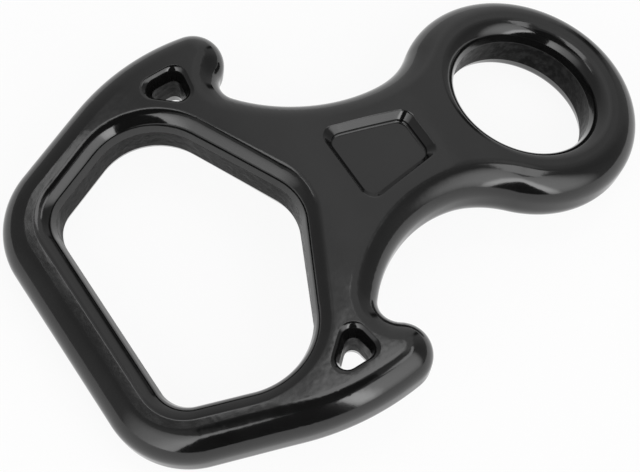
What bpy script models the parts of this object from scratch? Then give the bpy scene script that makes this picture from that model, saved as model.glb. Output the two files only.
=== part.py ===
"""Figure eight descender with two ears: one hot forged aluminium body, bent along its length.

The body is drawn flat. X runs along it with the middle of the eye at 0 and the eye's tip at +X, Y runs
across it and Z through its thickness. It is then bent, and set down on its two ends.
Units are metres and degrees.
"""
import bpy
import bmesh
from math import atan2, ceil, copysign, cos, degrees, radians, sin, tan
from mathutils import Matrix, Vector

# Thickness and outer edge: the thickness is the two outer roundings and the upright land between them
OUTER_EDGE_RADIUS = 0.0060
OUTER_LAND_HEIGHT = 0.0020
THICKNESS = OUTER_LAND_HEIGHT + 2 * OUTER_EDGE_RADIUS
EDGE_SEGMENTS = 5

# Inner rims: an upright trimmed land in the middle, a leaning draft and a rounding up to the flat
TRIMMED_LAND_HEIGHT = 0.0060
DRAFT_WIDTH = 0.0014
INNER_EDGE_OFFSET = 0.0026

# Eye at the carabiner end: its wall is the inner rim, a flat and the outer rounding
EYE_BORE_RADIUS = 0.0157
EYE_FLAT_WIDTH = 0.0012
EYE_OUTER_RADIUS = EYE_BORE_RADIUS + DRAFT_WIDTH + INNER_EDGE_OFFSET + EYE_FLAT_WIDTH + OUTER_EDGE_RADIUS
EYE_TO_NECK_ANGLE = 129.2

# Neck: two hollow arcs between the eye and the ear
NECK_EYE_RADIUS = 0.0232
NECK_MIDDLE_ANGLE = 275.7
NECK_EAR_RADIUS = 0.0323
NECK_END_ANGLE = 219.5

# Ear: rope notch, rounded tip and long outer curve
NOTCH_RADIUS = 0.0045
NOTCH_END_ANGLE = 123.9
EAR_TIP_FLAT = 0.0007
EAR_TIP_RADIUS = OUTER_EDGE_RADIUS + EAR_TIP_FLAT
EAR_TIP_END_ANGLE = 81.7
EAR_SIDE_RADIUS = 0.0545
SIDE_NORMAL_ANGLE = 110.15
SIDE_LENGTH = 0.0185
FAR_CORNER_RADIUS = 0.0187

# Five-sided rope opening: apex, shoulder and base corners of the upper half
OPENING_CORNERS = ((-0.0589, 0.0), (-0.0760, 0.0353), (-0.1037, 0.0247), (-0.1037, 0.0))
OPENING_RADII = (0.0112, 0.0143, 0.0070, 0.0)

# Small rounded triangular hole in each ear, with a rounded rim, a draft and a trimmed land of its own
EAR_HOLE_CORNERS = ((-0.0767, 0.0386), (-0.0640, 0.0386), (-0.0656, 0.0283))
EAR_HOLE_CORNER_RADIUS = 0.0024
EAR_HOLE_LAND_HEIGHT = 0.0064
EAR_HOLE_DRAFT_WIDTH = 0.0004
EAR_HOLE_RIM_RADIUS = 0.0010
EAR_HOLE_RIM_ANGLES = (15.0, 40.0, 70.0)
EAR_HOLE_RIM_RUNOUT = 0.00025

# Shallow recess in the top of the shank
RECESS_WIDE_X = -0.0486
RECESS_WIDE_HALF = 0.0099
RECESS_NARROW_X = -0.0289
RECESS_NARROW_HALF = 0.0063
RECESS_CORNER_RADIUS = 0.0030
RECESS_DEPTH = 0.0022
RECESS_WALL_LEAN = 0.0015
RECESS_CORNER_SHRINK = 0.5

# Bend of the body about a cross axis
BEND_START_X = -0.0240
BEND_END_X = -0.0890
BEND_ANGLE = 25.8
BEND_STRIPS = 10

# Fineness of round outlines
CHORD_LENGTH = 0.0022
CUTTER_CORNER_STEPS = 5
APEX_STEPS = 6
MERGE_DISTANCE = 0.000001
OUTLINE_PLACES = 6
FLAT_NORMAL = 0.999
SHARP_ANGLE = 35.0

# Coat
COAT_COLOUR = (0.012, 0.012, 0.012, 1.0)
COAT_ROUGHNESS = 0.22

HALF_THICKNESS = THICKNESS / 2
HALF_TRIMMED_LAND = TRIMMED_LAND_HEIGHT / 2
BEND_RADIUS = (BEND_START_X - BEND_END_X) / radians(BEND_ANGLE)
CUTTER_OVERSHOOT = THICKNESS / 4


def direction(angle):
    """Unit vector in the plan at an angle in degrees."""
    return Vector((cos(radians(angle)), sin(radians(angle))))


def arc(centre, radius, start, end, steps=0):
    """Points along an arc, both ends included; the chord length sets the steps unless they are given."""
    steps = steps or max(2, ceil(abs(radians(end - start)) * radius / CHORD_LENGTH))
    return [centre + radius * direction(start + (end - start) * i / steps) for i in range(steps + 1)]


def without_repeats(points):
    """Drop points that fall on the one before them."""
    kept = []
    for point in points:
        if not kept or (point - kept[-1]).length > MERGE_DISTANCE:
            kept.append(point)
    return kept


def body_half_outline():
    """Upper half of the outer outline, from the eye's tip to the middle of the base bar."""
    neck_eye = (EYE_OUTER_RADIUS + NECK_EYE_RADIUS) * direction(EYE_TO_NECK_ANGLE)
    neck_ear = neck_eye + (NECK_EYE_RADIUS - NECK_EAR_RADIUS) * direction(NECK_MIDDLE_ANGLE)
    notch = neck_ear + (NECK_EAR_RADIUS - NOTCH_RADIUS) * direction(NECK_END_ANGLE)
    tip = notch + (NOTCH_RADIUS + EAR_TIP_RADIUS) * direction(NOTCH_END_ANGLE)
    side = tip - (EAR_SIDE_RADIUS - EAR_TIP_RADIUS) * direction(EAR_TIP_END_ANGLE)
    side_start = side + EAR_SIDE_RADIUS * direction(SIDE_NORMAL_ANGLE)
    side_end = side_start + SIDE_LENGTH * direction(SIDE_NORMAL_ANGLE + 90)
    corner = side_end - FAR_CORNER_RADIUS * direction(SIDE_NORMAL_ANGLE)
    points = arc(Vector((0, 0)), EYE_OUTER_RADIUS, 0, EYE_TO_NECK_ANGLE)
    points += arc(neck_eye, NECK_EYE_RADIUS, EYE_TO_NECK_ANGLE + 180, NECK_MIDDLE_ANGLE)
    points += arc(neck_ear, NECK_EAR_RADIUS, NECK_MIDDLE_ANGLE, NECK_END_ANGLE)
    points += arc(notch, NOTCH_RADIUS, NECK_END_ANGLE, NOTCH_END_ANGLE)
    points += arc(tip, EAR_TIP_RADIUS, NOTCH_END_ANGLE - 180, EAR_TIP_END_ANGLE)
    points += arc(side, EAR_SIDE_RADIUS, EAR_TIP_END_ANGLE, SIDE_NORMAL_ANGLE)
    points += arc(corner, FAR_CORNER_RADIUS, SIDE_NORMAL_ANGLE, 180)
    points.append(Vector((points[-1].x, 0)))
    return without_repeats(points)


def rounded_corner(before, corner, after, radius, steps):
    """Arc that rounds one corner of a polygon."""
    towards = (corner - before).normalized()
    away = (after - corner).normalized()
    turn = atan2(towards.x * away.y - towards.y * away.x, towards.dot(away))
    side = 1 if turn > 0 else -1
    start = corner - towards * radius * tan(abs(turn) / 2)
    centre = start + side * radius * Vector((-towards.y, towards.x))
    first = degrees(atan2(start.y - centre.y, start.x - centre.x))
    return arc(centre, radius, first, first + degrees(turn), steps)


def rounded_polygon(corners, radii, steps=0):
    """Closed outline of a polygon with one rounding radius for each corner."""
    corners = [Vector(corner) for corner in corners]
    points = []
    for i, radius in enumerate(radii):
        after = corners[(i + 1) % len(corners)]
        points += rounded_corner(corners[i - 1], corners[i], after, radius, steps)
    return without_repeats(points)


def opening_half_outline():
    """Upper half of the five-sided opening, from the middle of its base to its apex."""
    corners = [Vector(corner) for corner in OPENING_CORNERS]
    mirrored = Vector((corners[1].x, -corners[1].y))
    apex = rounded_corner(mirrored, corners[0], corners[1], OPENING_RADII[0], APEX_STEPS)
    points = apex[APEX_STEPS // 2:]
    points += rounded_corner(corners[0], corners[1], corners[2], OPENING_RADII[1], 0)
    points += rounded_corner(corners[1], corners[2], corners[3], OPENING_RADII[2], 0)
    points.append(corners[3])
    points[0].y = 0
    return list(reversed(points))


def eye_half_outline():
    """Upper half of the eye's bore, from the shank side to the tip side."""
    points = arc(Vector((0, 0)), EYE_BORE_RADIUS, 180, 0)
    points[0].y = 0
    points[-1].y = 0
    return points


def inner_circle(corners):
    """Middle and radius of the circle that touches the three sides of a triangle."""
    first, second, third = corners
    lengths = ((second - third).length, (third - first).length, (first - second).length)
    around = sum(lengths)
    middle = sum((corner * length for corner, length in zip(corners, lengths)), Vector((0, 0))) / around
    along = second - first
    across = third - first
    return middle, abs(along.x * across.y - along.y * across.x) / around


def ear_hole_outline(side, grow):
    """Rounded triangle of an ear hole, its sides moved outwards by an amount; side is 1 or -1."""
    corners = [Vector(corner) for corner in EAR_HOLE_CORNERS]
    middle, radius = inner_circle(corners)
    factor = 1 + grow / radius
    corners = [middle + (corner - middle) * factor for corner in corners]
    radii = [EAR_HOLE_CORNER_RADIUS * factor] * len(corners)
    points = rounded_polygon(corners, radii, CUTTER_CORNER_STEPS)
    return [Vector((point.x, side * point.y)) for point in points]


def recess_outline(inset):
    """Rounded wedge outline of the recess, drawn in by an inset."""
    wide = RECESS_WIDE_X + inset
    narrow = RECESS_NARROW_X - inset
    corners = (
        (wide, RECESS_WIDE_HALF - inset),
        (wide, inset - RECESS_WIDE_HALF),
        (narrow, inset - RECESS_NARROW_HALF),
        (narrow, RECESS_NARROW_HALF - inset),
    )
    radius = RECESS_CORNER_RADIUS - RECESS_CORNER_SHRINK * inset
    return rounded_polygon(corners, [radius] * len(corners), CUTTER_CORNER_STEPS)


def link(obj, collection):
    """Put an object in one collection only."""
    collection.objects.link(obj)
    return obj


def half_plate(name, outline, collection):
    """Flat half plate on the +Y side, extruded from one outline and open along the X axis."""
    curve = bpy.data.curves.new(name + "_curve", "CURVE")
    curve.dimensions = "2D"
    curve.fill_mode = "BOTH"
    curve.extrude = HALF_THICKNESS
    spline = curve.splines.new("POLY")
    spline.points.add(len(outline) - 1)
    for target, point in zip(spline.points, outline):
        target.co = (point.x, point.y, 0, 1)
    spline.use_cyclic_u = True
    holder = bpy.data.objects.new(name + "_outline", curve)
    mesh = bpy.data.meshes.new_from_object(holder)
    bpy.data.objects.remove(holder)
    bpy.data.curves.remove(curve)
    mesh.name = name
    bm = bmesh.new()
    bm.from_mesh(mesh)
    bmesh.ops.remove_doubles(bm, verts=bm.verts, dist=MERGE_DISTANCE)
    for height in (HALF_THICKNESS, -HALF_THICKNESS):
        flat = [face for face in bm.faces if all(abs(v.co.z - height) < MERGE_DISTANCE for v in face.verts)]
        bmesh.ops.dissolve_faces(bm, faces=flat)
    on_axis = [face for face in bm.faces if all(abs(v.co.y) < MERGE_DISTANCE for v in face.verts)]
    bmesh.ops.delete(bm, geom=on_axis, context="FACES_ONLY")
    bmesh.ops.recalc_face_normals(bm, faces=bm.faces)
    bm.to_mesh(mesh)
    bm.free()
    return link(bpy.data.objects.new(name, mesh), collection)


def rounded_place(point):
    """Plan position of a point, rounded so that it can be looked up."""
    return round(point.x, OUTLINE_PLACES), round(point.y, OUTLINE_PLACES)


def rim_edges(bm, outline):
    """Edges along one outline between the flat faces and the upright walls."""
    places = {rounded_place(point) for point in outline}
    found = []
    for edge in bm.edges:
        level = abs(edge.verts[0].co.z - edge.verts[1].co.z) < MERGE_DISTANCE
        at_face = abs(abs(edge.verts[0].co.z) - HALF_THICKNESS) < MERGE_DISTANCE
        on_outline = all(rounded_place(vert.co) in places for vert in edge.verts)
        if level and at_face and on_outline and len(edge.link_faces) == 2:
            found.append(edge)
    return found


def bevel_edges(bm, edges, offset, segments):
    """Round or chamfer edges and give the vertices and edges that this makes."""
    return bmesh.ops.bevel(
        bm, geom=edges, offset=offset, offset_type="OFFSET", affect="EDGES",
        segments=segments, profile=0.5, clamp_overlap=False,
    )


def round_outer_rim(obj, outline):
    """Round the upper and lower edge along the outer outline."""
    bm = bmesh.new()
    bm.from_mesh(obj.data)
    bevel_edges(bm, rim_edges(bm, outline), OUTER_EDGE_RADIUS, EDGE_SEGMENTS)
    bm.to_mesh(obj.data)
    bm.free()


def between_flat_and_draft(edge):
    """True for an edge in a flat face that borders a leaning face."""
    if not all(abs(abs(vert.co.z) - HALF_THICKNESS) < MERGE_DISTANCE for vert in edge.verts):
        return False
    flat = [abs(face.normal.z) > FLAT_NORMAL for face in edge.link_faces]
    return len(flat) == 2 and flat[0] != flat[1]


def draft_and_round_rim(obj, outline):
    """Draw the upper and lower edge of an opening out to a draft over the trimmed land, and round it."""
    bm = bmesh.new()
    bm.from_mesh(obj.data)
    made = bevel_edges(bm, rim_edges(bm, outline), DRAFT_WIDTH, 1)
    for vert in made["verts"]:
        if abs(abs(vert.co.z) - (HALF_THICKNESS - DRAFT_WIDTH)) < MERGE_DISTANCE:
            vert.co.z = copysign(HALF_TRIMMED_LAND, vert.co.z)
    bm.normal_update()
    upper = [edge for edge in made["edges"] if between_flat_and_draft(edge)]
    bevel_edges(bm, upper, INNER_EDGE_OFFSET, EDGE_SEGMENTS)
    bm.to_mesh(obj.data)
    bm.free()


def apply_modifiers(obj):
    """Replace the mesh by the one its modifiers make."""
    bpy.context.view_layer.update()
    depsgraph = bpy.context.evaluated_depsgraph_get()
    mesh = bpy.data.meshes.new_from_object(obj.evaluated_get(depsgraph))
    obj.modifiers.clear()
    old = obj.data
    obj.data = mesh
    bpy.data.meshes.remove(old)
    mesh.name = obj.name


def mirror_across(obj):
    """Mirror the half plate to the -Y side and join the halves."""
    modifier = obj.modifiers.new("mirror", "MIRROR")
    modifier.use_axis = (False, True, False)
    modifier.use_bisect_axis = (False, False, False)
    modifier.use_clip = True
    modifier.merge_threshold = MERGE_DISTANCE
    apply_modifiers(obj)


def lofted_cutter(name, rings, collection):
    """Closed cutter through rings of equal point count, each a pair of outline and height."""
    bm = bmesh.new()
    layers = [[bm.verts.new((point.x, point.y, height)) for point in outline] for outline, height in rings]
    count = len(layers[0])
    for lower, upper in zip(layers, layers[1:]):
        for i in range(count):
            bm.faces.new((lower[i], lower[(i + 1) % count], upper[(i + 1) % count], upper[i]))
    bm.faces.new(list(reversed(layers[0])))
    bm.faces.new(layers[-1])
    bmesh.ops.recalc_face_normals(bm, faces=bm.faces)
    mesh = bpy.data.meshes.new(name)
    bm.to_mesh(mesh)
    bm.free()
    return link(bpy.data.objects.new(name, mesh), collection)


def ear_hole_cutter(side, collection):
    """Through cutter of one ear hole, the same upwards and downwards from the middle."""
    name = "ear_hole_cutter_left" if side > 0 else "ear_hole_cutter_right"
    steps = [(-EAR_HOLE_DRAFT_WIDTH, EAR_HOLE_LAND_HEIGHT / 2)]
    for angle in EAR_HOLE_RIM_ANGLES:
        out = EAR_HOLE_RIM_RADIUS * (1 - cos(radians(angle)))
        down = EAR_HOLE_RIM_RADIUS * (1 - sin(radians(angle)))
        steps.append((out, HALF_THICKNESS - down))
    steps.append((EAR_HOLE_RIM_RADIUS, HALF_THICKNESS + EAR_HOLE_RIM_RUNOUT))
    steps.append((EAR_HOLE_RIM_RADIUS, HALF_THICKNESS + CUTTER_OVERSHOOT))
    rings = [(ear_hole_outline(side, grow), -height) for grow, height in reversed(steps)]
    rings += [(ear_hole_outline(side, grow), height) for grow, height in steps]
    return lofted_cutter(name, rings, collection)


def recess_cutter(collection):
    """Wedge cutter of the recess, set square to the bent top in the middle of the recess."""
    slope = RECESS_WALL_LEAN / RECESS_DEPTH
    top = HALF_THICKNESS + CUTTER_OVERSHOOT
    rings = (
        (recess_outline(RECESS_WALL_LEAN), HALF_THICKNESS - RECESS_DEPTH),
        (recess_outline(-CUTTER_OVERSHOOT * slope), top),
    )
    cutter = lofted_cutter("recess_cutter", rings, collection)
    middle = (RECESS_WIDE_X + RECESS_NARROW_X) / 2
    to_middle = Matrix.Translation((-middle, 0, 0))
    cutter.data.transform(bent_frame(middle) @ to_middle)
    return cutter


def cut(obj, cutter):
    """Boolean difference, applied."""
    modifier = obj.modifiers.new("cut", "BOOLEAN")
    modifier.operation = "DIFFERENCE"
    modifier.solver = "EXACT"
    modifier.object = cutter
    apply_modifiers(obj)


def bent_frame(x):
    """Place and turn of the bent mid surface at a flat position x."""
    along = min(max(BEND_START_X - x, 0), BEND_START_X - BEND_END_X)
    angle = along / BEND_RADIUS
    beyond = max(BEND_END_X - x, 0)
    before = max(x, BEND_START_X)
    place_x = before - BEND_RADIUS * sin(angle) - beyond * cos(angle)
    place_z = BEND_RADIUS * (cos(angle) - 1) - beyond * sin(angle)
    turn = Matrix.Rotation(-angle, 4, "Y")
    return Matrix.Translation((place_x, 0, place_z)) @ turn


def bend(obj):
    """Slice the flat body across, then carry it round the bend."""
    bm = bmesh.new()
    bm.from_mesh(obj.data)
    for i in range(BEND_STRIPS + 1):
        x = BEND_START_X + (BEND_END_X - BEND_START_X) * i / BEND_STRIPS
        geometry = bm.verts[:] + bm.edges[:] + bm.faces[:]
        bmesh.ops.bisect_plane(bm, geom=geometry, dist=MERGE_DISTANCE, plane_co=(x, 0, 0), plane_no=(1, 0, 0))
    for vert in bm.verts:
        vert.co = bent_frame(vert.co.x) @ Vector((0, vert.co.y, vert.co.z))
    bm.to_mesh(obj.data)
    bm.free()


def rest_transform():
    """Turn about Y that brings the rounded undersides of both ends to one height."""
    base_x = min(point.x for point in body_half_outline())
    below = -HALF_THICKNESS + OUTER_EDGE_RADIUS
    eye_end = Vector((EYE_OUTER_RADIUS - OUTER_EDGE_RADIUS, 0, below))
    base_end = bent_frame(base_x + OUTER_EDGE_RADIUS) @ Vector((0, 0, below))
    drop = eye_end.z - base_end.z
    return Matrix.Rotation(atan2(drop, eye_end.x - base_end.x), 4, "Y")


def settle(obj):
    """Set the body on its two ends, with the origin in the middle of its box at the bottom."""
    obj.data.transform(rest_transform())
    xs = [vert.co.x for vert in obj.data.vertices]
    zs = [vert.co.z for vert in obj.data.vertices]
    obj.data.transform(Matrix.Translation((-(min(xs) + max(xs)) / 2, 0, -min(zs))))


def black_coat():
    """Glossy black coat over the forged aluminium."""
    material = bpy.data.materials.new("black_coat")
    material.use_nodes = True
    shader = material.node_tree.nodes["Principled BSDF"]
    shader.inputs["Base Color"].default_value = COAT_COLOUR
    shader.inputs["Roughness"].default_value = COAT_ROUGHNESS
    shader.inputs["Metallic"].default_value = 0.0
    return material


def smooth_rounded_faces(obj):
    """Shade the rounded edges smooth and keep the flat faces flat."""
    for polygon in obj.data.polygons:
        polygon.use_smooth = True
    obj.data.set_sharp_from_angle(angle=radians(SHARP_ANGLE))


def descender_body(collection, cutters):
    """The whole forging."""
    outer = body_half_outline()
    opening = opening_half_outline()
    eye = eye_half_outline()
    body = half_plate("descender_body", outer + opening + eye, collection)
    round_outer_rim(body, outer)
    draft_and_round_rim(body, opening)
    draft_and_round_rim(body, eye)
    mirror_across(body)
    for side in (1, -1):
        cut(body, ear_hole_cutter(side, cutters))
    bend(body)
    cut(body, recess_cutter(cutters))
    settle(body)
    smooth_rounded_faces(body)
    body.data.materials.clear()
    body.data.materials.append(black_coat())
    return body


def clear_scene():
    """Empty the scene without touching the settings."""
    for obj in list(bpy.data.objects):
        bpy.data.objects.remove(obj)


def new_collection(name):
    """Collection linked to the scene."""
    collection = bpy.data.collections.new(name)
    bpy.context.scene.collection.children.link(collection)
    return collection


def main():
    clear_scene()
    collection = new_collection("figure_eight_descender")
    cutters = new_collection("cutters")
    descender_body(collection, cutters)
    for cutter in cutters.objects:
        cutter.hide_render = True
        cutter.display_type = "WIRE"


main()
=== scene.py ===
"""Looks of a forged figure eight descender: black coated body, pale table, soft studio light.

The body is drawn flat, as the drop forging comes from the die, then bent and set down on its
two ends. While it is flat, X runs along it, with the middle of the eye at 0 and the eye's tip
at +X. Units are metres and degrees.
"""
from math import atan2, ceil, cos, degrees, hypot, pi, radians, sin, tan

import bmesh
import bpy
from mathutils import Matrix, Vector


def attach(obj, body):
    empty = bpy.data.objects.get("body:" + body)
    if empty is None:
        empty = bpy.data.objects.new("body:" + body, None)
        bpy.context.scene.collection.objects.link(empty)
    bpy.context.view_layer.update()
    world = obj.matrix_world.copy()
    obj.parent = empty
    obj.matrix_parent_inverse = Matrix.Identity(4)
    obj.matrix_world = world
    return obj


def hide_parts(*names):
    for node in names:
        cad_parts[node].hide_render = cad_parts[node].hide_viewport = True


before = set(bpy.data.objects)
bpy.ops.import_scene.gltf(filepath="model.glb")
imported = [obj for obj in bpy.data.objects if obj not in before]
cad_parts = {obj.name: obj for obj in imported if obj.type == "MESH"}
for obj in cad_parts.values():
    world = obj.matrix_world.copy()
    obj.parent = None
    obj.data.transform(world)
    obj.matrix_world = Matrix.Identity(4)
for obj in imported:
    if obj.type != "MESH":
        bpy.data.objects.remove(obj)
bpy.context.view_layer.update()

# Thickness and edges
HALF_THICKNESS = 0.0070
OUTER_EDGE_RADIUS = 0.0060
LAND_HALF_HEIGHT = 0.0030
DRAFT_WIDTH = 0.0014
INNER_EDGE_OFFSET = 0.0026
TRIM_EDGE_RADIUS = 0.00012
OUTER_EDGE_SEGMENTS = 16
INNER_EDGE_SEGMENTS = 12
TRIM_EDGE_SEGMENTS = 2

# Eye. Angles in the plan are directions from an arc's middle, anticlockwise from +X
EYE_BORE_RADIUS = 0.0157
EYE_OUTER_RADIUS = 0.0269
EYE_TO_NECK_ANGLE = 129.2

# Neck
NECK_EYE_RADIUS = 0.0232
NECK_MIDDLE_ANGLE = 275.7
NECK_EAR_RADIUS = 0.0323
NECK_END_ANGLE = 219.5

# Ear and side
NOTCH_RADIUS = 0.0045
NOTCH_END_ANGLE = 123.9
EAR_TIP_RADIUS = 0.0067
EAR_TIP_END_ANGLE = 81.7
EAR_SIDE_RADIUS = 0.0545
SIDE_NORMAL_ANGLE = 110.15
SIDE_LENGTH = 0.0185
FAR_CORNER_RADIUS = 0.0187

# Rope opening: apex, shoulder and base corner
OPENING_APEX = Vector((-0.0589, 0.0))
OPENING_SHOULDER = Vector((-0.0760, 0.0353))
OPENING_BASE = Vector((-0.1037, 0.0247))
OPENING_APEX_RADIUS = 0.0112
OPENING_SHOULDER_RADIUS = 0.0143
OPENING_BASE_RADIUS = 0.0070

# Ear hole
EAR_HOLE_CORNERS = ((-0.0767, 0.0386), (-0.0640, 0.0386), (-0.0656, 0.0283))
EAR_HOLE_CORNER_RADIUS = 0.0024
EAR_HOLE_LAND_HALF = 0.0032
EAR_HOLE_DRAFT_WIDTH = 0.0008
EAR_HOLE_EDGE_OFFSET = 0.0012
EAR_HOLE_EDGE_SEGMENTS = 10
EAR_HOLE_LEDGE_GAP = 0.00004

# Recess in the shank
RECESS_WIDE_X = -0.0486
RECESS_WIDE_HALF = 0.0099
RECESS_NARROW_X = -0.0289
RECESS_NARROW_HALF = 0.0063
RECESS_CORNER_RADIUS = 0.0030
RECESS_DEPTH = 0.0022
RECESS_WALL_LEAN = 0.0013
RECESS_SLOPE_DEPTH = 0.0014
RECESS_FLOOR_RADIUS = 0.0004
RECESS_FLOOR_SEGMENTS = 6
RECESS_RIM_RADIUS = 0.0003
RECESS_RIM_SEGMENTS = 4

# Bend along the body
BEND_START_X = -0.0240
BEND_END_X = -0.0890
BEND_ANGLE = 25.8
BEND_STRIPS = 48
BEND_RADIUS = (BEND_START_X - BEND_END_X) / radians(BEND_ANGLE)

# Drawing and cutting
START_SIZE = 0.001
ARC_STEP = 0.0006
MERGE_DISTANCE = 0.000002
PLACE_TOLERANCE = 0.00001
SEARCH_MARGIN = 0.0001
RIM_SEARCH = 0.0004
TOOL_REACH = 0.0030

# The finished body is drawn a hair smaller, so that it stays inside the solid
FIT_SCALE = 0.999

# Smooth shading
SMOOTH_ANGLE = 40
FLAT_FACE_WEIGHT = 50


# ---------------------------------------------------------------- helpers

def deselect_all():
    """Leave nothing selected and no mode open."""
    bpy.ops.object.select_all(action="DESELECT")


def direction(angle):
    """Unit vector in the plan at an angle in degrees."""
    return Vector((cos(radians(angle)), sin(radians(angle))))


def start_outline(name, place):
    """New object in edit mode that holds one vertex, ready to be drawn on."""
    deselect_all()
    bpy.ops.mesh.primitive_plane_add(size=START_SIZE, location=(place.x, place.y, 0))
    obj = bpy.context.object
    obj.name = name
    obj.data.name = name
    bpy.ops.object.transform_apply(location=True, rotation=True, scale=True)
    bpy.ops.object.mode_set(mode="EDIT")
    bpy.ops.mesh.select_mode(type="VERT")
    bpy.ops.mesh.select_all(action="SELECT")
    bpy.ops.mesh.merge(type="CENTER")
    return obj


def draw_arc(centre, radius, turn):
    """Spin the selected end vertex about a centre, anticlockwise for a positive turn."""
    steps = max(2, ceil(abs(radians(turn)) * radius / ARC_STEP))
    bpy.ops.mesh.spin(
        steps=steps, dupli=False, angle=-radians(turn), use_auto_merge=False,
        center=(centre.x, centre.y, 0), axis=(0, 0, 1),
    )


def draw_line(move):
    """Extrude the selected end vertex along a straight line."""
    bpy.ops.mesh.extrude_vertices_move(TRANSFORM_OT_translate={"value": (move.x, move.y, 0)})


def end_place(obj):
    """Plan position of the selected end vertex."""
    bm = bmesh.from_edit_mesh(obj.data)
    selected = [vert.co for vert in bm.verts if vert.select]
    return Vector((selected[0].x, selected[0].y))


def draw_to(obj, place):
    """Straight line from the selected end vertex to a place in the plan."""
    draw_line(place - end_place(obj))


def draw_corner(obj, corner, after, radius):
    """Line up to a rounded corner of a polygon, then the arc round it."""
    before = end_place(obj)
    towards = (corner - before).normalized()
    away = (after - corner).normalized()
    turn = atan2(towards.x * away.y - towards.y * away.x, towards.dot(away))
    side = 1 if turn > 0 else -1
    start = corner - towards * radius * tan(abs(turn) / 2)
    centre = start + side * radius * Vector((-towards.y, towards.x))
    draw_to(obj, start)
    draw_arc(centre, radius, degrees(turn))


def fill_outline():
    """Close the drawn outline and lay one face in it."""
    bpy.ops.mesh.select_all(action="SELECT")
    bpy.ops.mesh.remove_doubles(threshold=MERGE_DISTANCE)
    bpy.ops.mesh.edge_face_add()


def select_faces(obj, test):
    """Select the faces whose middle passes a test."""
    bpy.ops.mesh.select_mode(type="FACE")
    bpy.ops.mesh.select_all(action="DESELECT")
    bm = bmesh.from_edit_mesh(obj.data)
    for face in bm.faces:
        face.select_set(bool(test(face.calc_center_median())))
    bm.select_flush_mode()
    bmesh.update_edit_mesh(obj.data)


def select_edges(obj, test):
    """Select the edges whose two ends pass a test."""
    bpy.ops.mesh.select_mode(type="EDGE")
    bpy.ops.mesh.select_all(action="DESELECT")
    bm = bmesh.from_edit_mesh(obj.data)
    for edge in bm.edges:
        edge.select_set(bool(test(edge.verts[0].co, edge.verts[1].co)))
    bmesh.update_edit_mesh(obj.data)


def select_verts(obj, test):
    """Select the vertices whose place passes a test."""
    bpy.ops.mesh.select_mode(type="VERT")
    bpy.ops.mesh.select_all(action="DESELECT")
    bm = bmesh.from_edit_mesh(obj.data)
    for vert in bm.verts:
        vert.select_set(bool(test(vert.co)))
    bmesh.update_edit_mesh(obj.data)


def near(value, target):
    """True where a coordinate is at a place."""
    return abs(value - target) < PLACE_TOLERANCE


def bevel_selected(offset, segments):
    """Round the selected edges."""
    bpy.ops.mesh.bevel(
        offset_type="OFFSET", offset=offset, segments=segments, profile=0.5,
        affect="EDGES", clamp_overlap=False,
    )


def make_active(obj):
    """Select one object alone."""
    deselect_all()
    obj.select_set(True)
    bpy.context.view_layer.objects.active = obj


def apply_modifier(obj, modifier):
    """Apply a modifier to its mesh."""
    make_active(obj)
    bpy.ops.object.modifier_apply(modifier=modifier.name)


# ---------------------------------------------------------------- flat forging

def draw_outer_half(name):
    """Outer outline from the eye's tip, over neck and ear, to the middle of the base bar."""
    eye = Vector((0, 0))
    # Middles of the arcs, each tangent to the one before
    neck_eye = (EYE_OUTER_RADIUS + NECK_EYE_RADIUS) * direction(EYE_TO_NECK_ANGLE)
    neck_ear = neck_eye + (NECK_EYE_RADIUS - NECK_EAR_RADIUS) * direction(NECK_MIDDLE_ANGLE)
    notch = neck_ear + (NECK_EAR_RADIUS - NOTCH_RADIUS) * direction(NECK_END_ANGLE)
    tip = notch + (NOTCH_RADIUS + EAR_TIP_RADIUS) * direction(NOTCH_END_ANGLE)
    side = tip - (EAR_SIDE_RADIUS - EAR_TIP_RADIUS) * direction(EAR_TIP_END_ANGLE)
    body = start_outline(name, Vector((EYE_OUTER_RADIUS, 0)))
    draw_arc(eye, EYE_OUTER_RADIUS, EYE_TO_NECK_ANGLE)
    draw_arc(neck_eye, NECK_EYE_RADIUS, NECK_MIDDLE_ANGLE - EYE_TO_NECK_ANGLE - 180)
    draw_arc(neck_ear, NECK_EAR_RADIUS, NECK_END_ANGLE - NECK_MIDDLE_ANGLE)
    draw_arc(notch, NOTCH_RADIUS, NOTCH_END_ANGLE - NECK_END_ANGLE)
    draw_arc(tip, EAR_TIP_RADIUS, EAR_TIP_END_ANGLE - NOTCH_END_ANGLE + 180)
    draw_arc(side, EAR_SIDE_RADIUS, SIDE_NORMAL_ANGLE - EAR_TIP_END_ANGLE)
    draw_line(SIDE_LENGTH * direction(SIDE_NORMAL_ANGLE + 90))
    corner = end_place(body) - FAR_CORNER_RADIUS * direction(SIDE_NORMAL_ANGLE)
    draw_arc(corner, FAR_CORNER_RADIUS, 180 - SIDE_NORMAL_ANGLE)
    draw_to(body, Vector((end_place(body).x, 0)))
    return body


def draw_inner_half(body):
    """Rope opening and eye bore, from the middle of the base bar back to the eye's tip."""
    draw_to(body, Vector((OPENING_BASE.x, 0)))
    draw_corner(body, OPENING_BASE, OPENING_SHOULDER, OPENING_BASE_RADIUS)
    draw_corner(body, OPENING_SHOULDER, OPENING_APEX, OPENING_SHOULDER_RADIUS)
    # Only half of the apex rounding is drawn, up to the mirror plane
    towards = (OPENING_APEX - OPENING_SHOULDER).normalized()
    half_turn = -atan2(towards.x, -towards.y)
    tangent = OPENING_APEX_RADIUS * tan(abs(half_turn))
    start = OPENING_APEX - towards * tangent
    centre = start + OPENING_APEX_RADIUS * Vector((towards.y, -towards.x))
    draw_to(body, start)
    draw_arc(centre, OPENING_APEX_RADIUS, degrees(half_turn))
    draw_to(body, Vector((-EYE_BORE_RADIUS, 0)))
    draw_arc(Vector((0, 0)), EYE_BORE_RADIUS, -180)
    draw_to(body, Vector((EYE_OUTER_RADIUS, 0)))


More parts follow.
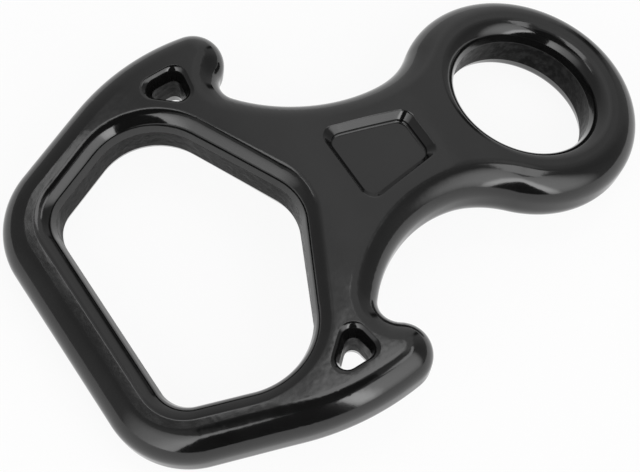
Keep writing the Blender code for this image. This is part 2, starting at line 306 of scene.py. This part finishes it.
def in_opening(place, margin):
    """True inside the five-sided opening grown by a margin."""
    corners = [OPENING_APEX, OPENING_SHOULDER, OPENING_BASE, Vector((OPENING_BASE.x, 0))]
    point = Vector((place.x, abs(place.y)))
    for first, second in zip(corners, corners[1:]):
        along = (second - first).normalized()
        if (point - first).dot(Vector((along.y, -along.x))) > margin:
            return False
    return True


def beside_bore(place, margin):
    """True inside the eye's bore or the rope opening, each grown by a margin."""
    reach = margin + PLACE_TOLERANCE
    return hypot(place.x, place.y) < EYE_BORE_RADIUS + reach or in_opening(place, reach)


def quarter_blank(name):
    """Upper quarter of the forging, all edges still sharp: half the outline, half as thick."""
    body = draw_outer_half(name)
    draw_inner_half(body)
    fill_outline()
    bpy.ops.mesh.extrude_region_move(TRANSFORM_OT_translate={"value": (0, 0, HALF_THICKNESS)})
    select_faces(body, lambda middle: near(middle.z, 0) or near(middle.y, 0))
    bpy.ops.mesh.delete(type="ONLY_FACE")
    bpy.ops.mesh.select_all(action="SELECT")
    bpy.ops.mesh.delete_loose()
    bpy.ops.mesh.select_all(action="SELECT")
    bpy.ops.mesh.normals_make_consistent(inside=False)
    return body


def at_level(first, second, level):
    """True for an edge whose two ends are at one height."""
    return near(first.z, level) and near(second.z, level)


def on_rim(first, second, level, margin):
    """True for an edge at one height whose ends lie beside the eye's bore or the rope opening."""
    beside = beside_bore(first, margin) and beside_bore(second, margin)
    return at_level(first, second, level) and beside


def off_axis(first, second):
    """True for an edge that doesn't lie in the mirror plane."""
    return not (near(first.y, 0) and near(second.y, 0))


def round_outer_edge(body):
    """Full rounding of the outer edge."""
    margin = (EYE_OUTER_RADIUS - EYE_BORE_RADIUS) / 2

    def outer(first, second):
        top = at_level(first, second, HALF_THICKNESS) and off_axis(first, second)
        return top and not beside_bore(first, margin)

    select_edges(body, outer)
    bevel_selected(OUTER_EDGE_RADIUS, OUTER_EDGE_SEGMENTS)


def draft_and_round(body):
    """Rims of the eye's bore and the rope opening.

    From the middle outwards: upright land, crisp trim edge, leaning draft and a rounding up to
    the flat.
    """
    low = HALF_THICKNESS - DRAFT_WIDTH
    select_edges(body, lambda a, b: on_rim(a, b, HALF_THICKNESS, 0) and off_axis(a, b))
    bevel_selected(DRAFT_WIDTH, 1)
    select_verts(body, lambda place: near(place.z, low) and beside_bore(place, 0))
    bpy.ops.transform.translate(value=(0, 0, LAND_HALF_HEIGHT - low))
    margin = DRAFT_WIDTH + SEARCH_MARGIN
    select_edges(body, lambda a, b: on_rim(a, b, HALF_THICKNESS, margin) and off_axis(a, b))
    bevel_selected(INNER_EDGE_OFFSET, INNER_EDGE_SEGMENTS)
    select_edges(body, lambda a, b: on_rim(a, b, LAND_HALF_HEIGHT, 0))
    bevel_selected(TRIM_EDGE_RADIUS, TRIM_EDGE_SEGMENTS)


def mirror(obj):
    """Complete a quarter to the whole piece."""
    bpy.ops.object.mode_set(mode="OBJECT")
    modifier = obj.modifiers.new("mirror", "MIRROR")
    modifier.use_axis = (False, True, True)
    modifier.use_clip = True
    modifier.merge_threshold = MERGE_DISTANCE
    apply_modifier(obj, modifier)


# ---------------------------------------------------------------- ear holes and recess

def draw_polygon(name, corners, radius):
    """Face with rounded corners, in edit mode, on the plane z = 0."""
    start = (corners[-1] + corners[0]) / 2
    piece = start_outline(name, start)
    for corner, after in zip(corners, corners[1:] + [start]):
        draw_corner(piece, corner, after, radius)
    draw_to(piece, start)
    fill_outline()
    return piece


def extrude_up(height):
    """Extrude the selected face upwards."""
    bpy.ops.mesh.extrude_region_move(TRANSFORM_OT_translate={"value": (0, 0, height)})


def selected_middle():
    """Middle of the selected vertices."""
    bm = bmesh.from_edit_mesh(bpy.context.object.data)
    places = [vert.co for vert in bm.verts if vert.select]
    return sum(places, Vector()) / len(places)


def in_polygon(corners, place, margin):
    """True inside a polygon, whichever way its corners run, grown by a margin."""
    middle = sum(corners, Vector((0, 0))) / len(corners)
    point = Vector((place.x, place.y))
    for first, second in zip(corners, corners[1:] + corners[:1]):
        along = (second - first).normalized()
        outward = Vector((along.y, -along.x))
        if (middle - first).dot(outward) > 0:
            outward = -outward
        if (point - first).dot(outward) > margin + PLACE_TOLERANCE:
            return False
    return True


def on_polygon_rim(corners, first, second, level, margin):
    """True for an edge at one height whose ends lie in a polygon grown by a margin."""
    inside = in_polygon(corners, first, margin) and in_polygon(corners, second, margin)
    return at_level(first, second, level) and inside


def inner_circle(corners):
    """Middle and radius of the circle that touches the three sides of a triangle."""
    opposite = corners[1:] + corners[:1], corners[2:] + corners[:2]
    sides = [(first - second).length for first, second in zip(*opposite)]
    around = sum(sides)
    weighted = [corner * side for corner, side in zip(corners, sides)]
    middle = sum(weighted, Vector((0, 0))) / around
    first = corners[1] - corners[0]
    second = corners[2] - corners[0]
    return middle, abs(first.x * second.y - first.y * second.x) / around


def ear_hole_corners():
    """Corners of the left ear hole at its trimmed land, inside its draft, and their radius."""
    corners = [Vector(corner) for corner in EAR_HOLE_CORNERS]
    middle, radius = inner_circle(corners)
    factor = 1 - EAR_HOLE_DRAFT_WIDTH / radius
    inner = [middle + (corner - middle) * factor for corner in corners]
    return inner, EAR_HOLE_CORNER_RADIUS * factor


def beside_ear_hole(place, margin):
    """True inside either ear hole grown by a margin."""
    corners = ear_hole_corners()[0]
    return in_polygon(corners, Vector((place.x, abs(place.y))), margin)


def grow_selected(by, corners):
    """Move the sides of the selected triangle, drawn with these corners, equally outwards."""
    middle, radius = inner_circle(corners)
    factor = 1 + by / radius
    bpy.ops.transform.resize(value=(factor, factor, 1), center_override=(middle.x, middle.y, 0))


def ear_hole_tool():
    """Punch of both ear holes.

    From the middle outwards: upright land, crisp trim edge, leaning draft, and a rounding that
    runs out into a ledge just over the flat.
    """
    corners, radius = ear_hole_corners()
    ledge = HALF_THICKNESS + EAR_HOLE_LEDGE_GAP
    tool = draw_polygon("ear_hole_tool", corners, radius)
    extrude_up(EAR_HOLE_LAND_HALF)
    extrude_up(ledge - EAR_HOLE_LAND_HALF)
    grow_selected(EAR_HOLE_DRAFT_WIDTH, corners)
    extrude_up(0)
    grow_selected(2 * EAR_HOLE_EDGE_OFFSET, corners)
    extrude_up(TOOL_REACH)
    select_faces(tool, lambda middle: near(middle.z, 0))
    bpy.ops.mesh.delete(type="ONLY_FACE")
    margin = EAR_HOLE_DRAFT_WIDTH + SEARCH_MARGIN
    select_edges(tool, lambda a, b: on_polygon_rim(corners, a, b, ledge, margin))
    bevel_selected(EAR_HOLE_EDGE_OFFSET, EAR_HOLE_EDGE_SEGMENTS)
    select_edges(tool, lambda a, b: at_level(a, b, EAR_HOLE_LAND_HALF))
    bevel_selected(TRIM_EDGE_RADIUS, TRIM_EDGE_SEGMENTS)
    mirror(tool)
    return tool


def recess_corners(inset):
    """Corners of the recess, drawn in by an inset."""
    wide = RECESS_WIDE_X + inset
    narrow = RECESS_NARROW_X - inset
    return [
        Vector((wide, RECESS_WIDE_HALF - inset)),
        Vector((wide, inset - RECESS_WIDE_HALF)),
        Vector((narrow, inset - RECESS_NARROW_HALF)),
        Vector((narrow, RECESS_NARROW_HALF - inset)),
    ]


def recess_tool():
    """Recess whose walls lean out above a steep foot, carried on past the top."""
    above = -TOOL_REACH * RECESS_WALL_LEAN / RECESS_SLOPE_DEPTH
    floor = HALF_THICKNESS - RECESS_DEPTH
    corners = recess_corners(RECESS_WALL_LEAN)
    tool = draw_polygon("recess_tool", corners, RECESS_CORNER_RADIUS - RECESS_WALL_LEAN / 2)
    bpy.ops.transform.translate(value=(0, 0, floor))
    extrude_up(RECESS_DEPTH - RECESS_SLOPE_DEPTH)
    extrude_up(RECESS_SLOPE_DEPTH + TOOL_REACH)
    middle = selected_middle()
    length = RECESS_NARROW_X - RECESS_WIDE_X
    width = RECESS_WIDE_HALF + RECESS_NARROW_HALF
    grow_x = (length - 2 * above) / (length - 2 * RECESS_WALL_LEAN)
    grow_y = (width - 2 * above) / (width - 2 * RECESS_WALL_LEAN)
    bpy.ops.transform.resize(value=(grow_x, grow_y, 1), center_override=middle)
    select_edges(tool, lambda a, b: at_level(a, b, floor))
    bevel_selected(RECESS_FLOOR_RADIUS, RECESS_FLOOR_SEGMENTS)
    bpy.ops.object.mode_set(mode="OBJECT")
    return tool


def soften_recess_rim(body):
    """Small rounding where the recess meets the top."""
    make_active(body)
    bpy.ops.object.mode_set(mode="EDIT")
    rim = recess_corners(0)
    select_edges(body, lambda a, b: on_polygon_rim(rim, a, b, HALF_THICKNESS, RIM_SEARCH))
    bevel_selected(RECESS_RIM_RADIUS, RECESS_RIM_SEGMENTS)
    bpy.ops.object.mode_set(mode="OBJECT")


def outward_normals(obj):
    """Point all faces of a closed shape outwards."""
    make_active(obj)
    bpy.ops.object.mode_set(mode="EDIT")
    bpy.ops.mesh.select_all(action="SELECT")
    bpy.ops.mesh.normals_make_consistent(inside=False)
    bpy.ops.object.mode_set(mode="OBJECT")


def cut_with(body, tool):
    """Cut a tool's shape out of the body and clear the tool away."""
    outward_normals(tool)
    modifier = body.modifiers.new("cut", "BOOLEAN")
    modifier.operation = "DIFFERENCE"
    modifier.solver = "EXACT"
    modifier.object = tool
    apply_modifier(body, modifier)
    bpy.data.objects.remove(tool)


# ---------------------------------------------------------------- bend and rest

def slice_across(body):
    """Slice the body across at the stations of the bend."""
    make_active(body)
    bpy.ops.object.mode_set(mode="EDIT")
    for strip in range(BEND_STRIPS + 1):
        x = BEND_START_X + (BEND_END_X - BEND_START_X) * strip / BEND_STRIPS
        bpy.ops.mesh.select_all(action="SELECT")
        bpy.ops.mesh.bisect(plane_co=(x, 0, 0), plane_no=(1, 0, 0), threshold=MERGE_DISTANCE)
    bpy.ops.object.mode_set(mode="OBJECT")


def bend_body(body):
    """Bend the body downwards between two stations, with straight ends beyond them."""
    xs = [vert.co.x for vert in body.data.vertices]
    length = max(xs) - min(xs)
    deselect_all()
    bpy.ops.object.empty_add(location=(BEND_START_X, 0, 0), rotation=(radians(-90), 0, 0))
    pivot = bpy.context.object
    modifier = body.modifiers.new("bend", "SIMPLE_DEFORM")
    modifier.deform_method = "BEND"
    modifier.deform_axis = "Z"
    modifier.origin = pivot
    modifier.angle = radians(BEND_ANGLE)
    modifier.limits = ((BEND_END_X - min(xs)) / length, (BEND_START_X - min(xs)) / length)
    bpy.context.view_layer.update()
    apply_modifier(body, modifier)
    bpy.data.objects.remove(pivot)


def bent_place(x, height):
    """Where a point at a flat x and a height above the mid plane lies after the bend."""
    along = min(max(BEND_START_X - x, 0), BEND_START_X - BEND_END_X)
    angle = along / BEND_RADIUS
    beyond = max(BEND_END_X - x, 0)
    place_x = max(x, BEND_START_X) - (BEND_RADIUS + height) * sin(angle) - beyond * cos(angle)
    place_z = (BEND_RADIUS + height) * cos(angle) - BEND_RADIUS - beyond * sin(angle)
    return Vector((place_x, 0, place_z))


def settle(body, flat_base):
    """Turn the body until both ends touch the table and put its middle over the origin."""
    below = OUTER_EDGE_RADIUS - HALF_THICKNESS
    eye_end = bent_place(EYE_OUTER_RADIUS - OUTER_EDGE_RADIUS, below)
    base_end = bent_place(flat_base + OUTER_EDGE_RADIUS, below)
    make_active(body)
    body.rotation_euler = (0, atan2(eye_end.z - base_end.z, eye_end.x - base_end.x), 0)
    body.scale = (FIT_SCALE, FIT_SCALE, FIT_SCALE)
    bpy.ops.object.transform_apply(location=True, rotation=True, scale=True)
    xs = [vert.co.x for vert in body.data.vertices]
    zs = [vert.co.z for vert in body.data.vertices]
    body.location = (-(min(xs) + max(xs)) / 2, 0, -min(zs))
    bpy.ops.object.transform_apply(location=True, rotation=True, scale=True)


# ---------------------------------------------------------------- materials

COAT_IOR = 1.58

# Coat as forged and dipped: deep black, glossy, faintly wavy
GLOSS_LOOK = {
    "marks": {
        "Colour": (0.0045, 0.0045, 0.0045, 1), "Worn Colour": (0.007, 0.007, 0.007, 1),
        "Gloss Roughness": 0.09, "Roughness Spread": 0.04, "Scale": 70.0,
    },
    "skin": {"Wave Scale": 230.0, "Grain Scale": 1300.0, "Grain Share": 0.10},
    "relief_depth": 0.00003, "shine": 0.5,
}

# Coat on the trimmed lands: dull, mottled and rough from the trimming
TRIMMED_LOOK = {
    "marks": {
        "Colour": (0.003, 0.003, 0.003, 1), "Worn Colour": (0.026, 0.026, 0.026, 1),
        "Gloss Roughness": 0.30, "Roughness Spread": 0.20, "Scale": 620.0,
    },
    "skin": {"Wave Scale": 500.0, "Grain Scale": 2400.0, "Grain Share": 0.35},
    "relief_depth": 0.00016, "shine": 0.05,
}

NOISE_ROUGHNESS = 0.55
WAVE_DETAIL = 2.0
GRAIN_DETAIL = 3.0
PATCH_DETAIL = 5.0
PATCH_EDGES = {"From Min": 0.42, "From Max": 0.68}


def new_tree(name):
    """New material whose node tree holds only its output; gives both."""
    material = bpy.data.materials.new(name)
    material.use_nodes = True
    tree = material.node_tree
    tree.nodes.clear()
    tree.nodes.new("ShaderNodeOutputMaterial")
    return material, tree


def finish_surface(tree, shader):
    """Join a shader to the material's surface."""
    tree.links.new(shader.outputs[0], tree.nodes["Material Output"].inputs["Surface"])


def set_inputs(node, values):
    """Set several sockets of a node by name."""
    for name, value in values.items():
        node.inputs[name].default_value = value


def add_socket(group, name, in_out, kind, value=None):
    """Named input or output of a node group."""
    socket = group.interface.new_socket(name=name, in_out=in_out, socket_type=kind)
    if value is not None:
        socket.default_value = value


def noise_node(tree, vector, scale, detail):
    """Noise over a vector, both vector and scale given as sockets."""
    noise = tree.nodes.new("ShaderNodeTexNoise")
    set_inputs(noise, {"Detail": detail, "Roughness": NOISE_ROUGHNESS})
    tree.links.new(scale, noise.inputs["Scale"])
    tree.links.new(vector, noise.inputs["Vector"])
    return noise


def math_node(tree, operation, first, second):
    """Maths on two values or sockets."""
    node = tree.nodes.new("ShaderNodeMath")
    node.operation = operation
    for socket, value in zip(node.inputs, (first, second)):
        if isinstance(value, (int, float)):
            socket.default_value = value
        else:
            tree.links.new(value, socket)
    return node.outputs["Value"]


def skin_relief_group():
    """Relief of a surface: a long wave and a fine grain, mixed into one height."""
    group = bpy.data.node_groups.new("skin_relief", "ShaderNodeTree")
    add_socket(group, "Vector", "INPUT", "NodeSocketVector")
    add_socket(group, "Wave Scale", "INPUT", "NodeSocketFloat", 90.0)
    add_socket(group, "Grain Scale", "INPUT", "NodeSocketFloat", 900.0)
    add_socket(group, "Grain Share", "INPUT", "NodeSocketFloat", 0.2)
    add_socket(group, "Height", "OUTPUT", "NodeSocketFloat")
    source = group.nodes.new("NodeGroupInput")
    target = group.nodes.new("NodeGroupOutput")
    vector = source.outputs["Vector"]
    wave = noise_node(group, vector, source.outputs["Wave Scale"], WAVE_DETAIL)
    grain = noise_node(group, vector, source.outputs["Grain Scale"], GRAIN_DETAIL)
    share = math_node(group, "MULTIPLY", grain.outputs["Fac"], source.outputs["Grain Share"])
    height = math_node(group, "ADD", wave.outputs["Fac"], share)
    group.links.new(height, target.inputs["Height"])
    return group


def handling_group():
    """Fine uneven gloss and tone left by handling."""
    group = bpy.data.node_groups.new("handling_marks", "ShaderNodeTree")
    add_socket(group, "Vector", "INPUT", "NodeSocketVector")
    add_socket(group, "Colour", "INPUT", "NodeSocketColor", (0.005, 0.005, 0.005, 1))
    add_socket(group, "Worn Colour", "INPUT", "NodeSocketColor", (0.012, 0.012, 0.012, 1))
    add_socket(group, "Gloss Roughness", "INPUT", "NodeSocketFloat", 0.08)
    add_socket(group, "Roughness Spread", "INPUT", "NodeSocketFloat", 0.05)
    add_socket(group, "Scale", "INPUT", "NodeSocketFloat", 60.0)
    add_socket(group, "Base Colour", "OUTPUT", "NodeSocketColor")
    add_socket(group, "Roughness", "OUTPUT", "NodeSocketFloat")
    source = group.nodes.new("NodeGroupInput")
    target = group.nodes.new("NodeGroupOutput")
    patches = noise_node(group, source.outputs["Vector"], source.outputs["Scale"], PATCH_DETAIL)
    mask = group.nodes.new("ShaderNodeMapRange")
    set_inputs(mask, PATCH_EDGES)
    group.links.new(patches.outputs["Fac"], mask.inputs["Value"])
    mix = group.nodes.new("ShaderNodeMix")
    mix.data_type = "RGBA"
    group.links.new(mask.outputs["Result"], mix.inputs["Factor"])
    group.links.new(source.outputs["Colour"], mix.inputs["A"])
    group.links.new(source.outputs["Worn Colour"], mix.inputs["B"])
    extra = source.outputs["Roughness Spread"]
    spread = math_node(group, "MULTIPLY", mask.outputs["Result"], extra)
    rough = math_node(group, "ADD", source.outputs["Gloss Roughness"], spread)
    group.links.new(mix.outputs["Result"], target.inputs["Base Colour"])
    group.links.new(rough, target.inputs["Roughness"])
    return group


def black_finish(name, relief, handling, look):
    """Black coat on a surface; the look gives its tone, gloss and relief."""
    material, tree = new_tree(name)
    shader = tree.nodes.new("ShaderNodeBsdfPrincipled")
    set_inputs(shader, {"IOR": COAT_IOR, "Specular IOR Level": look["shine"]})
    place = tree.nodes.new("ShaderNodeTexCoord").outputs["Object"]
    marks = tree.nodes.new("ShaderNodeGroup")
    marks.node_tree = handling
    set_inputs(marks, look["marks"])
    tree.links.new(place, marks.inputs["Vector"])
    tree.links.new(marks.outputs["Base Colour"], shader.inputs["Base Color"])
    tree.links.new(marks.outputs["Roughness"], shader.inputs["Roughness"])
    skin = tree.nodes.new("ShaderNodeGroup")
    skin.node_tree = relief
    set_inputs(skin, look["skin"])
    tree.links.new(place, skin.inputs["Vector"])
    bump = tree.nodes.new("ShaderNodeBump")
    set_inputs(bump, {"Strength": 1.0, "Distance": look["relief_depth"]})
    tree.links.new(skin.outputs["Height"], bump.inputs["Height"])
    tree.links.new(bump.outputs["Normal"], shader.inputs["Normal"])
    finish_surface(tree, shader)
    return material


def smooth_shading(body):
    """Smooth shading that keeps the flats flat."""
    make_active(body)
    bpy.ops.object.shade_smooth_by_angle(angle=radians(SMOOTH_ANGLE))
    modifier = body.modifiers.new("weighted", "WEIGHTED_NORMAL")
    modifier.keep_sharp = True
    modifier.weight = FLAT_FACE_WEIGHT
    apply_modifier(body, modifier)


def on_land(middle):
    """True for a face of the trimmed lands, while the body is still flat."""
    bore = abs(middle.z) < LAND_HALF_HEIGHT and beside_bore(middle, 0)
    hole = abs(middle.z) < EAR_HOLE_LAND_HALF and beside_ear_hole(middle, 0)
    return bore or hole


def coat_body(body):
    """Gloss coat all over, and the duller coat on the trimmed lands."""
    relief = skin_relief_group()
    handling = handling_group()
    looks = {"black_coat": GLOSS_LOOK, "black_coat_on_trimmed_land": TRIMMED_LOOK}
    for name, look in looks.items():
        body.data.materials.append(black_finish(name, relief, handling, look))
    make_active(body)
    bpy.ops.object.mode_set(mode="EDIT")
    select_faces(body, on_land)
    body.active_material_index = 1
    bpy.ops.object.material_slot_assign()
    bpy.ops.object.mode_set(mode="OBJECT")


# ---------------------------------------------------------------- table, light and camera

CAMERA_PLACE = (-0.1551, -0.1541, 0.3692)
CAMERA_AZIMUTH = -43.94
CAMERA_ELEVATION = 60.09
CAMERA_ROLL = 12.30
CAMERA_LENS = 111.4
CAMERA_SENSOR = 36
CAMERA_NEAR = 0.01

TABLE_SIZE = 8
TABLE_COLOUR = (0.88, 0.88, 0.88, 1)
TABLE_GLOW = 0.92
CARD_COLOUR = (0.02, 0.02, 0.02, 1)

# Soft lights: place as azimuth, elevation, width and height, strength, and their levels from one
# side to the other and from the foot to the top
LEFT_LIGHT_PLACE = (-78, 27, 55, 64)
LEFT_LIGHT_STRENGTH = 3.3
LEFT_LIGHT_ACROSS = ((0.02, 0.17), (0.28, 0.45), (0.5, 0.62), (0.75, 1.0), (0.98, 1.0))
LEFT_LIGHT_UPWARDS = ((0.02, 0.9), (0.7, 1.0), (0.98, 0.8))
LEFT_LIGHT_CORNER = 0.34
RIGHT_LIGHT_PLACE = (23, 30, 50, 60)
RIGHT_LIGHT_STRENGTH = 5.6
RIGHT_LIGHT_ACROSS = (
    (0.02, 1.0), (0.16, 0.95), (0.26, 0.45), (0.6, 0.4), (0.76, 0.32), (0.98, 0.08),
)
RIGHT_LIGHT_UPWARDS = ((0.02, 0.45), (0.18, 0.75), (0.34, 0.95), (0.66, 1.0), (0.98, 0.9))
LOW_CARD_PLACE = (-26, 28, 52, 62)
STAND_DISTANCE = 9.0
CARD_DISTANCE = 10.0

# Sheets on the ceiling, as directions of azimuth and elevation round their edge
CEILING_LIGHT_EDGE = ((-147, 70), (139, 67), (102, 76), (-98, 83))
CEILING_BAND_EDGE = ((17, 65), (93, 60.5), (83, 55), (35, 58))
CEILING_CORNER_EDGE = ((-151.5, 58.0), (-158, 59.3), (-151, 69.6), (-142, 67.4))
CEILING_SIDE_EDGE = ((-158, 59.5), (-176, 63), (174, 71), (-151, 69.6))
CEILING_PLAIN_EDGE = (
    (139, 67.5), (136, 57), (120, 40), (95, 52), (96, 61), (61, 72), (102, 76),
)
CEILING_DARK_EDGE = (
    (-137, 68), (-98, 83), (45, 81.5), (17, 69), (-8, 60), (-43, 45), (-68, 63.5), (-106, 68),
)
BRIGHT_CLOTH_STRENGTH = 2.6
PLAIN_CLOTH_STRENGTH = 0.72
CEILING_HEIGHT = 10.0
CEILING_CARD_HEIGHT = 10.2

# Tone of the walls all round the room, as pairs of azimuth and level
WALL_TONES = (
    (-180, 0.48), (-165, 0.35), (-150, 0.29), (-128, 0.29), (-112, 0.40), (-60, 0.30),
    (50, 0.30), (70, 0.24), (86, 0.28), (98, 0.40), (110, 0.48), (116, 0.60), (138, 0.76),
    (155, 0.64), (180, 0.48),
)

# Dark seam between two walls: its share by azimuth, and by the rise of the view
SEAM_SPAN = ((109, 0.0), (112, 0.95), (116, 0.95), (119, 0.0))
SEAM_RISE = ((0.0, 1.0), (0.34, 1.0), (0.44, 0.6), (0.54, 0.0))


def heading(azimuth, elevation):
    """Direction in the room: azimuth 0 is towards -Y, 90 towards +X."""
    turn, rise = radians(azimuth), radians(elevation)
    return Vector((sin(turn) * cos(rise), -cos(turn) * cos(rise), sin(rise)))


def level_ramp(tree, value, levels):
    """Ramp through pairs of position and grey level, fed by a value."""
    node = tree.nodes.new("ShaderNodeValToRGB")
    elements = node.color_ramp.elements
    # A new ramp has two stops, which become its ends
    for element, (position, level) in zip(elements, (levels[0], levels[-1])):
        element.position = position
        element.color = (level, level, level, 1)
    for position, level in levels[1:-1]:
        elements.new(position).color = (level, level, level, 1)
    tree.links.new(value, node.inputs["Fac"])
    return node.outputs["Color"]


def turn_ramp(tree, turn, levels):
    """Ramp through pairs of azimuth and level; the turn runs from 0 at -180 degrees to 1 at 180."""
    return level_ramp(tree, turn, [(0.5 + azimuth / 360, level) for azimuth, level in levels])


def shaded_glow(name, strength, across, upwards):
    """Cloth of a soft light, with its levels across its width and upwards."""
    material, tree = new_tree(name)
    glow = tree.nodes.new("ShaderNodeEmission")
    place = tree.nodes.new("ShaderNodeTexCoord")
    split = tree.nodes.new("ShaderNodeSeparateXYZ")
    tree.links.new(place.outputs["Object"], split.inputs["Vector"])
    side = level_ramp(tree, math_node(tree, "ADD", split.outputs["X"], 0.5), across)
    height = level_ramp(tree, math_node(tree, "ADD", split.outputs["Y"], 0.5), upwards)
    share = math_node(tree, "MULTIPLY", side, height)
    tree.links.new(math_node(tree, "MULTIPLY", share, strength), glow.inputs["Strength"])
    finish_surface(tree, glow)
    return material


def plain_glow(name, strength):
    """Evenly lit sheet."""
    material, tree = new_tree(name)
    glow = tree.nodes.new("ShaderNodeEmission")
    set_inputs(glow, {"Strength": strength})
    finish_surface(tree, glow)
    return material


def card_material():
    """Dark studio card."""
    material, tree = new_tree("dark_card")
    shader = tree.nodes.new("ShaderNodeBsdfDiffuse")
    set_inputs(shader, {"Color": CARD_COLOUR})
    finish_surface(tree, shader)
    return material


def stage_sheet(sheet, name, material):
    """Name and finish a studio sheet that only lights the part and shows in its gloss."""
    sheet.name = name
    sheet.visible_camera = False
    sheet.data.materials.append(material)


def add_panel(name, place, distance, material):
    """Flat studio panel that faces the part.

    Its place is the azimuth and elevation of its middle, and its width and height as angles.
    """
    azimuth, elevation, width, height = place
    deselect_all()
    bpy.ops.mesh.primitive_plane_add(size=1, location=distance * heading(azimuth, elevation))
    panel = bpy.context.object
    panel.rotation_euler = (radians(90 - elevation), 0, radians(azimuth))
    scale_x, scale_y = (2 * distance * tan(radians(angle / 2)) for angle in (width, height))
    panel.scale = (scale_x, scale_y, 1)
    stage_sheet(panel, name, material)
    return panel


def add_ceiling_sheet(name, edge, height, material):
    """Sheet on the ceiling, given by the directions in which the part sees its corners."""
    deselect_all()
    bpy.ops.mesh.primitive_circle_add(vertices=len(edge), radius=1, fill_type="NGON")
    sheet = bpy.context.object
    for vert, (azimuth, elevation) in zip(sheet.data.vertices, edge):
        towards = heading(azimuth, elevation)
        vert.co = towards * (height / towards.z)
    stage_sheet(sheet, name, material)


def add_lights():
    """Two soft lights beside the camera, sheets on the ceiling and a dark card low down."""
    left = shaded_glow(
        "left_light_cloth", LEFT_LIGHT_STRENGTH, LEFT_LIGHT_ACROSS, LEFT_LIGHT_UPWARDS,
    )
    panel = add_panel("left_light", LEFT_LIGHT_PLACE, STAND_DISTANCE, left)
    # Its upper corner beside the camera is drawn in
    for vert in panel.data.vertices:
        if vert.co.x > 0 and vert.co.y > 0:
            vert.co.x = LEFT_LIGHT_CORNER
    right = shaded_glow(
        "right_light_cloth", RIGHT_LIGHT_STRENGTH, RIGHT_LIGHT_ACROSS, RIGHT_LIGHT_UPWARDS,
    )
    add_panel("right_light", RIGHT_LIGHT_PLACE, STAND_DISTANCE, right)
    bright = plain_glow("bright_cloth", BRIGHT_CLOTH_STRENGTH)
    add_ceiling_sheet("ceiling_light", CEILING_LIGHT_EDGE, CEILING_HEIGHT, bright)
    add_ceiling_sheet("ceiling_band", CEILING_BAND_EDGE, CEILING_HEIGHT, bright)
    add_ceiling_sheet("ceiling_corner", CEILING_CORNER_EDGE, CEILING_HEIGHT, bright)
    plain = plain_glow("plain_cloth", PLAIN_CLOTH_STRENGTH)
    add_ceiling_sheet("ceiling_side", CEILING_SIDE_EDGE, CEILING_CARD_HEIGHT, plain)
    add_ceiling_sheet("ceiling_plain", CEILING_PLAIN_EDGE, CEILING_CARD_HEIGHT, plain)
    card = card_material()
    add_ceiling_sheet("ceiling_dark", CEILING_DARK_EDGE, CEILING_CARD_HEIGHT, card)
    add_panel("dark_card_low", LOW_CARD_PLACE, CARD_DISTANCE, card)


def add_table():
    """Pale table that the part stands on; it takes the part's shadow and is seen as white."""
    deselect_all()
    bpy.ops.mesh.primitive_plane_add(size=TABLE_SIZE, location=(0, 0, 0))
    table = bpy.context.object
    table.name = "table"
    material, tree = new_tree("pale_table")
    shader = tree.nodes.new("ShaderNodeBsdfDiffuse")
    set_inputs(shader, {"Color": TABLE_COLOUR})
    glow = tree.nodes.new("ShaderNodeEmission")
    path = tree.nodes.new("ShaderNodeLightPath")
    seen = math_node(tree, "MAXIMUM", path.outputs["Is Camera Ray"], path.outputs["Is Glossy Ray"])
    seen = math_node(tree, "MAXIMUM", seen, path.outputs["Is Transmission Ray"])
    share = math_node(tree, "MULTIPLY", seen, TABLE_GLOW)
    mix = tree.nodes.new("ShaderNodeMixShader")
    tree.links.new(share, mix.inputs["Fac"])
    tree.links.new(shader.outputs["BSDF"], mix.inputs[1])
    tree.links.new(glow.outputs["Emission"], mix.inputs[2])
    finish_surface(tree, mix)
    table.data.materials.append(material)


def add_room():
    """Plain grey walls, palest on the far side, with a dark seam low in one corner."""
    world = bpy.data.worlds.new("studio")
    bpy.context.scene.world = world
    world.use_nodes = True
    tree = world.node_tree
    background = tree.nodes["Background"]
    set_inputs(background, {"Color": (1, 1, 1, 1)})
    place = tree.nodes.new("ShaderNodeTexCoord")
    split = tree.nodes.new("ShaderNodeSeparateXYZ")
    tree.links.new(place.outputs["Generated"], split.inputs["Vector"])
    towards_camera = math_node(tree, "MULTIPLY", split.outputs["Y"], -1.0)
    azimuth = math_node(tree, "ARCTAN2", split.outputs["X"], towards_camera)
    turn = math_node(tree, "ADD", math_node(tree, "DIVIDE", azimuth, 2 * pi), 0.5)
    level = turn_ramp(tree, turn, WALL_TONES)
    seam = turn_ramp(tree, turn, SEAM_SPAN)
    seam = math_node(tree, "MULTIPLY", seam, level_ramp(tree, split.outputs["Z"], SEAM_RISE))
    unshaded = math_node(tree, "SUBTRACT", 1.0, seam)
    tree.links.new(math_node(tree, "MULTIPLY", level, unshaded), background.inputs["Strength"])


def add_camera():
    """Camera above the near left side of the part, with a slight roll."""
    deselect_all()
    bpy.ops.object.camera_add(location=CAMERA_PLACE)
    camera = bpy.context.object
    turn = Matrix.Rotation(radians(CAMERA_AZIMUTH), 4, "Z")
    tilt = Matrix.Rotation(radians(90 - CAMERA_ELEVATION), 4, "X")
    roll = Matrix.Rotation(radians(CAMERA_ROLL), 4, "Z")
    camera.rotation_euler = (turn @ tilt @ roll).to_euler()
    camera.data.lens = CAMERA_LENS
    camera.data.sensor_width = CAMERA_SENSOR
    camera.data.clip_start = CAMERA_NEAR
    bpy.context.scene.camera = camera


# ---------------------------------------------------------------- build

body = quarter_blank("descender_forging")
round_outer_edge(body)
draft_and_round(body)
mirror(body)
cut_with(body, ear_hole_tool())
cut_with(body, recess_tool())
soften_recess_rim(body)
coat_body(body)
slice_across(body)
flat_base = min(vert.co.x for vert in body.data.vertices)
bend_body(body)
settle(body, flat_base)
smooth_shading(body)

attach(body, "root")
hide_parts("descender_body")

add_table()
add_room()
add_lights()
add_camera()
bpy.context.scene.view_settings.view_transform = "Standard"
